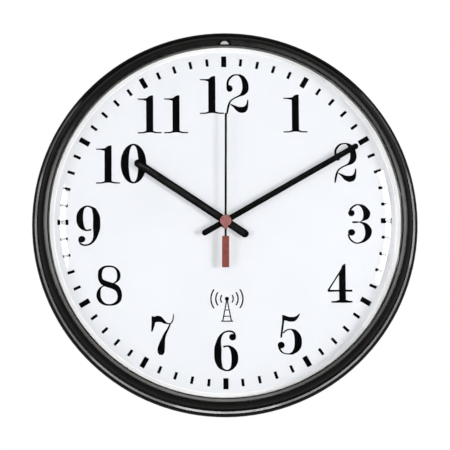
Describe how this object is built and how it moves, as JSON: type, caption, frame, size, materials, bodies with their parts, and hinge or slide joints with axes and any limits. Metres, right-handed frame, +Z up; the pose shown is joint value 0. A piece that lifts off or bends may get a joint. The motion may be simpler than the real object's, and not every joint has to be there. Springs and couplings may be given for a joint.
{
  "type": "radio-controlled wall clock",
  "caption": "Round black wall clock with a white dial, black hands, a red-tailed second hand and a two-motor radio-controlled movement behind the dial.",
  "frame": {"origin": "centre of the keyhole's entry hole in the hanger plate, on the wall plane", "axes": "+Z up to 12 o'clock, +Y out of the back into the wall, the dial faces -Y, +X towards 3 o'clock"},
  "size_m": [0.324, 0.038, 0.324],
  "materials": {
    "case_black": "satin moulded",
    "lens_clear": "clear",
    "catch_nickel": "plated",
    "ring_white": "matte",
    "dial_white": "matte print",
    "screw_steel": "zinc plated",
    "hanger_steel": "zinc plated",
    "hand_black": "satin black paint",
    "hand_red": "satin red paint",
    "brass": "turned",
    "rubber_black": "matte",
    "movement_black": "fine grain",
    "plate_ivory": "moulded",
    "gear_natural": "moulded",
    "board_green": "solder mask",
    "chip_black": "epoxy",
    "crystal_can": "plated can",
    "switch_black": "moulded",
    "button_grey": "moulded",
    "button_red": "moulded",
    "ferrite": "sintered",
    "rotor_magnet": "sintered",
    "copper_wire": "enamelled wire",
    "stator_iron": "stamped",
    "battery_jacket": "printed jacket",
    "contact_nickel": "nickel plated"
  },
  "bodies": {
    "case": {"bezel": "case_black", "lens": "lens_clear", "lens_catch": "catch_nickel", "dial_ring": "ring_white", "dial": "dial_white", "rear_case": "case_black", "bezel_screws": "screw_steel", "hanger_plate": "hanger_steel", "hanger_screws": "screw_steel", "mounting_nut": "brass", "nut_washer": "brass", "movement_gasket": "rubber_black", "threaded_bushing": "brass", "movement_housing": "movement_black", "movement_cover": "movement_black", "cover_screws": "screw_steel", "middle_plate": "plate_ivory", "rear_bridge": "plate_ivory", "bridge_screws": "screw_steel", "circuit_board": "board_green", "board_screws": "screw_steel", "control_chip": "chip_black", "quartz_crystals": "crystal_can", "tact_switches": "switch_black", "slide_switch": "crystal_can", "antenna_rod": "ferrite", "antenna_coil": "copper_wire", "seconds_stator": "stator_iron", "seconds_coil": "copper_wire", "minute_stator": "stator_iron", "minute_coil": "copper_wire", "battery": "battery_jacket", "positive_contact": "contact_nickel", "negative_contact": "contact_nickel"},
    "second_hand": {"second_hand": "hand_black", "second_hand_hub": "hand_red", "second_hand_counterweight": "hand_red", "second_hand_pipe": "brass", "seconds_wheel": "gear_natural"},
    "seconds_transfer_wheel": {"seconds_transfer_wheel": "gear_natural"},
    "seconds_rotor": {"seconds_rotor": "rotor_magnet"},
    "minute_hand": {"minute_hand": "hand_black", "minute_hand_collet": "brass", "minute_wheel": "gear_natural"},
    "minute_transfer_wheel": {"minute_transfer_wheel": "gear_natural"},
    "minute_rotor": {"minute_rotor": "rotor_magnet"},
    "motion_wheel": {"motion_wheel": "gear_natural"},
    "hour_hand": {"hour_hand": "hand_black", "hour_hand_collet": "brass", "hour_wheel": "gear_natural"},
    "time_set_button": {"time_set_button": "button_grey"},
    "receive_button": {"receive_button": "button_grey"},
    "reset_button": {"reset_button": "button_red"},
    "pacific_zone_button": {"pacific_zone_button": "button_grey"},
    "mountain_zone_button": {"mountain_zone_button": "button_grey"},
    "central_zone_button": {"central_zone_button": "button_grey"},
    "eastern_zone_button": {"eastern_zone_button": "button_grey"},
    "daylight_saving_knob": {"daylight_saving_knob": "button_grey"}
  },
  "joints": [
    {"name": "second_hand_turn", "type": "hinge", "parent": "case", "child": "second_hand", "pos_m": [0, -0.0125, -0.112], "axis": [0, 1, 0], "continuous": true},
    {"name": "seconds_transfer_turn", "type": "hinge", "parent": "case", "child": "seconds_transfer_wheel", "pos_m": [-0.00947, -0.0125, -0.10946], "axis": [0, 1, 0], "continuous": true},
    {"name": "seconds_rotor_turn", "type": "hinge", "parent": "case", "child": "seconds_rotor", "pos_m": [-0.01736, -0.0125, -0.11234], "axis": [0, 1, 0], "continuous": true},
    {"name": "minute_hand_turn", "type": "hinge", "parent": "case", "child": "minute_hand", "pos_m": [0, -0.0125, -0.112], "axis": [0, 1, 0], "continuous": true},
    {"name": "minute_transfer_turn", "type": "hinge", "parent": "case", "child": "minute_transfer_wheel", "pos_m": [0.01487, -0.0125, -0.11599], "axis": [0, 1, 0], "continuous": true},
    {"name": "minute_rotor_turn", "type": "hinge", "parent": "case", "child": "minute_rotor", "pos_m": [0.02434, -0.0125, -0.11345], "axis": [0, 1, 0], "continuous": true},
    {"name": "motion_wheel_turn", "type": "hinge", "parent": "case", "child": "motion_wheel", "pos_m": [-0.00105, -0.0125, -0.12395], "axis": [0, 1, 0], "continuous": true},
    {"name": "hour_hand_turn", "type": "hinge", "parent": "case", "child": "hour_hand", "pos_m": [0, -0.0125, -0.112], "axis": [0, 1, 0], "continuous": true},
    {"name": "time_set_button_press", "type": "slide", "parent": "case", "child": "time_set_button", "axis": [0, -1, 0], "range_m": [0, 0.0008], "stiffness_N_per_m": 250},
    {"name": "receive_button_press", "type": "slide", "parent": "case", "child": "receive_button", "axis": [0, -1, 0], "range_m": [0, 0.0008], "stiffness_N_per_m": 250},
    {"name": "reset_button_press", "type": "slide", "parent": "case", "child": "reset_button", "axis": [0, -1, 0], "range_m": [0, 0.0008], "stiffness_N_per_m": 250},
    {"name": "pacific_zone_button_press", "type": "slide", "parent": "case", "child": "pacific_zone_button", "axis": [0, -1, 0], "range_m": [0, 0.0008], "stiffness_N_per_m": 250},
    {"name": "mountain_zone_button_press", "type": "slide", "parent": "case", "child": "mountain_zone_button", "axis": [0, -1, 0], "range_m": [0, 0.0008], "stiffness_N_per_m": 250},
    {"name": "central_zone_button_press", "type": "slide", "parent": "case", "child": "central_zone_button", "axis": [0, -1, 0], "range_m": [0, 0.0008], "stiffness_N_per_m": 250},
    {"name": "eastern_zone_button_press", "type": "slide", "parent": "case", "child": "eastern_zone_button", "axis": [0, -1, 0], "range_m": [0, 0.0008], "stiffness_N_per_m": 250},
    {"name": "daylight_saving_slide", "type": "slide", "parent": "case", "child": "daylight_saving_knob", "axis": [1, 0, 0], "range_m": [0, 0.002]}
  ],
  "couplings": [
    {"joint": "seconds_transfer_turn", "follows": "second_hand_turn", "ratio": -6},
    {"joint": "seconds_rotor_turn", "follows": "second_hand_turn", "ratio": 30},
    {"joint": "minute_transfer_turn", "follows": "minute_hand_turn", "ratio": -10},
    {"joint": "minute_rotor_turn", "follows": "minute_hand_turn", "ratio": 60},
    {"joint": "motion_wheel_turn", "follows": "minute_hand_turn", "ratio": -0.33333},
    {"joint": "hour_hand_turn", "follows": "minute_hand_turn", "ratio": 0.083333}
  ]
}
